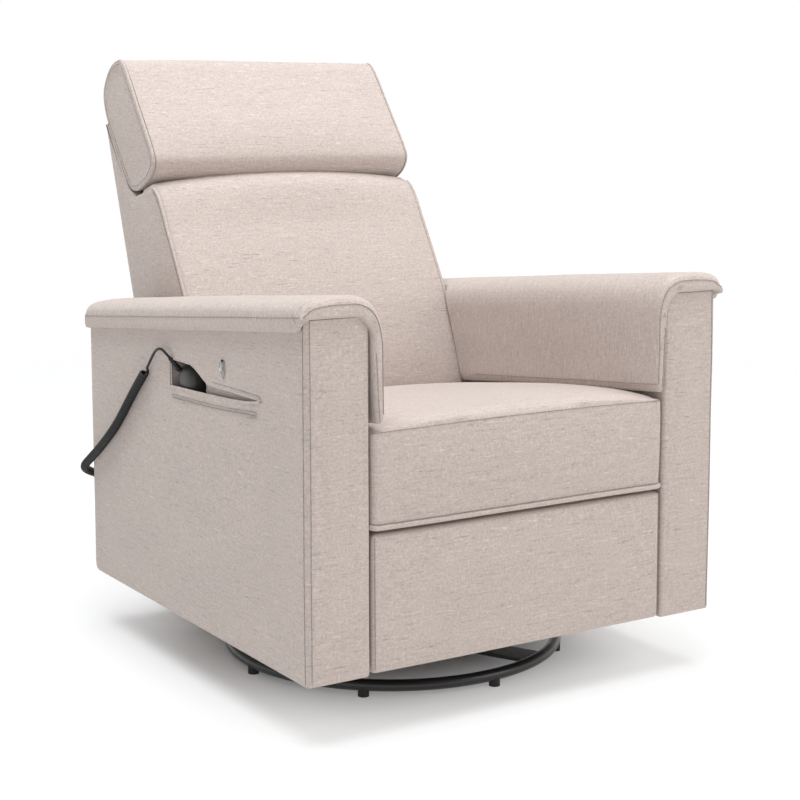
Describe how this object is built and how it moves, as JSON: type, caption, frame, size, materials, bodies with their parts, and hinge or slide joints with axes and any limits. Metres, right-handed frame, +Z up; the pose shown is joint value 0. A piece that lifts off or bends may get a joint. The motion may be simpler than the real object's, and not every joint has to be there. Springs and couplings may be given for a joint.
{
  "type": "power recliner glider chair",
  "caption": "Upholstered armchair that swivels, glides, reclines and folds out a footrest, on a round floor ring, with a corded handset in a side pocket.",
  "frame": {"origin": "on the floor, under the middle of the chair's outer box, the handset cord left out", "axes": "+Z up, the chair faces -Y, +X is towards its left arm as its sitter sees it"},
  "size_m": [0.7917, 0.976, 1.003],
  "materials": {
    "oatmeal_fabric": "matte",
    "black_steel": "satin",
    "zinc_steel": "satin",
    "frame_wood": "matte",
    "dark_plastic": "matte",
    "button_plastic": "matte",
    "foot_plastic": "matte",
    "cord_rubber": "satin",
    "clear_plastic": "gloss"
  },
  "bodies": {
    "base": {"base_ring": "black_steel", "base_crossbars": "black_steel", "base_feet": "foot_plastic", "swivel_lower_plate": "black_steel", "bearing_balls": "zinc_steel", "swivel_retainer": "zinc_steel"},
    "turntable": {"swivel_upper_plate": "black_steel", "stand_uprights": "black_steel", "stand_crossbrace": "black_steel"},
    "front_links": {"front_glide_links": "black_steel"},
    "rear_links": {"rear_glide_links": "black_steel"},
    "chair_frame": {"glide_rails": "black_steel", "lower_cross_tubes": "black_steel", "seat_side_rails": "frame_wood", "seat_front_rail": "frame_wood", "seat_rear_rail": "frame_wood", "seat_springs": "zinc_steel", "seat_cushion": "oatmeal_fabric", "left_arm_outer_panel": "oatmeal_fabric", "right_arm_outer_panel": "oatmeal_fabric", "arm_inner_panels": "oatmeal_fabric", "arm_front_panels": "oatmeal_fabric", "arm_rear_panels": "oatmeal_fabric", "left_arm_pad": "oatmeal_fabric", "right_arm_pad": "oatmeal_fabric", "pocket_bag": "oatmeal_fabric", "side_hook": "clear_plastic", "power_inlet": "dark_plastic", "rear_lower_panel": "oatmeal_fabric", "footrest_hangers": "black_steel", "recline_pivot_plates": "black_steel", "footrest_motor": "dark_plastic", "recline_motor": "dark_plastic", "control_box": "dark_plastic", "handset_back_shell": "dark_plastic", "handset_front_shell": "dark_plastic", "cord_strain_relief": "cord_rubber", "handset_lead": "cord_rubber", "handset_coil": "cord_rubber", "handset_tail": "cord_rubber", "cord_gland": "dark_plastic"},
    "backrest": {"recline_brackets": "black_steel", "back_stiles": "frame_wood", "back_rails": "frame_wood", "back_cushion": "oatmeal_fabric", "back_side_panels": "oatmeal_fabric", "back_rear_cover": "oatmeal_fabric", "headrest_roll": "oatmeal_fabric"},
    "thigh": {"thigh_links": "black_steel", "footrest_torque_tube": "black_steel"},
    "shin": {"shin_links": "black_steel"},
    "footrest": {"footrest_brackets": "black_steel", "footrest_panel": "oatmeal_fabric"},
    "footrest_nut": {"footrest_drive_nut": "dark_plastic"},
    "recline_nut": {"recline_drive_nut": "dark_plastic"},
    "recline_key": {"recline_button": "button_plastic"},
    "upright_key": {"upright_button": "button_plastic"},
    "footrest_out_key": {"footrest_out_button": "button_plastic"},
    "footrest_in_key": {"footrest_in_button": "button_plastic"}
  },
  "joints": [
    {"name": "swivel", "type": "hinge", "parent": "base", "child": "turntable", "pos_m": [0, -0.101, 0.03], "axis": [0, 0, 1], "continuous": true},
    {"name": "glide", "type": "hinge", "parent": "turntable", "child": "front_links", "pos_m": [0, -0.211, 0.27], "axis": [1, 0, 0], "range_deg": [-12, 12]},
    {"name": "glide_level", "type": "hinge", "parent": "front_links", "child": "chair_frame", "pos_m": [0, -0.211, 0.11], "axis": [1, 0, 0], "range_deg": [-12.5, 12.5]},
    {"name": "glide_rear", "type": "hinge", "parent": "turntable", "child": "rear_links", "pos_m": [0, 0.009, 0.27], "axis": [1, 0, 0], "range_deg": [-12.5, 12.5]},
    {"name": "recline", "type": "hinge", "parent": "chair_frame", "child": "backrest", "pos_m": [0, 0.119, 0.33], "axis": [-1, 0, 0], "range_deg": [0, 30]},
    {"name": "recline_drive", "type": "slide", "parent": "chair_frame", "child": "recline_nut", "axis": [0, 1, 0], "range_m": [0, 0.066]},
    {"name": "footrest_fold", "type": "hinge", "parent": "chair_frame", "child": "thigh", "pos_m": [0, -0.403, 0.252], "axis": [-1, 0, 0], "range_deg": [0, 105]},
    {"name": "footrest_knee", "type": "hinge", "parent": "thigh", "child": "shin", "pos_m": [0, -0.39123, 0.11751], "axis": [-1, 0, 0], "range_deg": [-162, 1]},
    {"name": "footrest_ankle", "type": "hinge", "parent": "shin", "child": "footrest", "pos_m": [0, -0.428, 0.262], "axis": [-1, 0, 0], "range_deg": [-1, 147]},
    {"name": "footrest_drive", "type": "slide", "parent": "chair_frame", "child": "footrest_nut", "axis": [0, -1, 0], "range_m": [0, 0.086]},
    {"name": "recline_press", "type": "slide", "parent": "chair_frame", "child": "recline_key", "axis": [0.9945, 0, 0.1045], "range_m": [0, 0.001], "stiffness_N_per_m": 400},
    {"name": "upright_press", "type": "slide", "parent": "chair_frame", "child": "upright_key", "axis": [0.9945, 0, 0.1045], "range_m": [0, 0.001], "stiffness_N_per_m": 400},
    {"name": "footrest_out_press", "type": "slide", "parent": "chair_frame", "child": "footrest_out_key", "axis": [0.9945, 0, 0.1045], "range_m": [0, 0.001], "stiffness_N_per_m": 400},
    {"name": "footrest_in_press", "type": "slide", "parent": "chair_frame", "child": "footrest_in_key", "axis": [0.9945, 0, 0.1045], "range_m": [0, 0.001], "stiffness_N_per_m": 400}
  ],
  "couplings": [
    {"joint": "glide_level", "follows": "glide", "ratio": -1},
    {"joint": "glide_rear", "follows": "glide", "ratio": 1},
    {"joint": "recline_drive", "follows": "recline", "m_per_rad": 0.12414},
    {"joint": "footrest_knee", "follows": "footrest_fold", "ratio": -1.5307},
    {"joint": "footrest_ankle", "follows": "footrest_fold", "ratio": 1.3878},
    {"joint": "footrest_drive", "follows": "footrest_fold", "m_per_rad": 0.046382}
  ]
}
